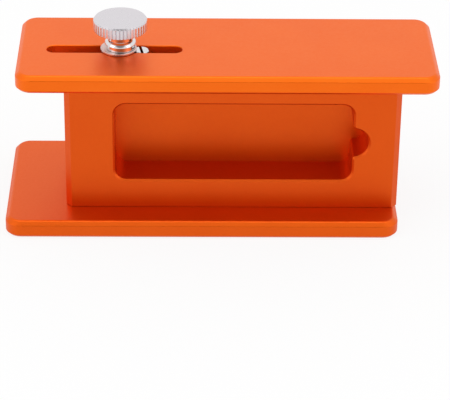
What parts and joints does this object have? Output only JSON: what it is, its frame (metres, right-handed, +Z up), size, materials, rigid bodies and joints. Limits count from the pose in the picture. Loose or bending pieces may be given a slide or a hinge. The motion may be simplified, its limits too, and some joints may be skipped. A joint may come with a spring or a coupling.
{
  "type": "deburring tool",
  "caption": "Plate-and-block deburring tool with a storage pocket, a slotted top plate and a sliding trapezoid blade clamped by a knurled thumb screw.",
  "frame": {"origin": "middle of the tool's footprint, at the level of the base plate's underside", "axes": "+Z up, +X along the plates with the blade leaving the block towards -X, -Y towards the side with the storage pocket"},
  "size_m": [0.161, 0.0668, 0.0765],
  "materials": {
    "orange_anodised": "satin orange anodised",
    "nickel_plated": "bright nickel plated",
    "blade_steel": "ground hardened steel",
    "ground_steel": "ground steel",
    "black_oxide": "black oxide"
  },
  "bodies": {
    "body": {"top_plate": "orange_anodised", "grip_block": "orange_anodised", "base_plate": "orange_anodised", "top_screw_1": "black_oxide", "top_screw_2": "black_oxide", "top_screw_3": "black_oxide", "top_screw_4": "black_oxide", "base_screw_1": "black_oxide", "base_screw_2": "black_oxide", "base_screw_3": "black_oxide", "base_screw_4": "black_oxide", "dowel_pin_1": "ground_steel", "dowel_pin_2": "ground_steel"},
    "carriage": {"blade_carrier": "black_oxide", "blade": "blade_steel", "blade_clamp": "black_oxide", "blade_pin_left": "ground_steel", "blade_pin_right": "ground_steel", "guide_screw": "nickel_plated"},
    "washer": {"thumb_washer": "nickel_plated"},
    "thumb": {"thumb_screw": "nickel_plated"}
  },
  "joints": [
    {"name": "blade_slide", "type": "slide", "parent": "body", "child": "carriage", "axis": [-1, 0, 0], "range_m": [-0.0123, 0.0249]},
    {"name": "thumb_lift", "type": "slide", "parent": "carriage", "child": "washer", "axis": [0, 0, 1], "range_m": [0, 0.0017]},
    {"name": "thumb_turn", "type": "hinge", "parent": "washer", "child": "thumb", "pos_m": [-0.0373, -0.0026, 0.0638], "axis": [0, 0, 1], "range_deg": [0, 720]}
  ],
  "couplings": [
    {"joint": "thumb_lift", "follows": "thumb_turn", "m_per_rad": 0.00012732}
  ]
}
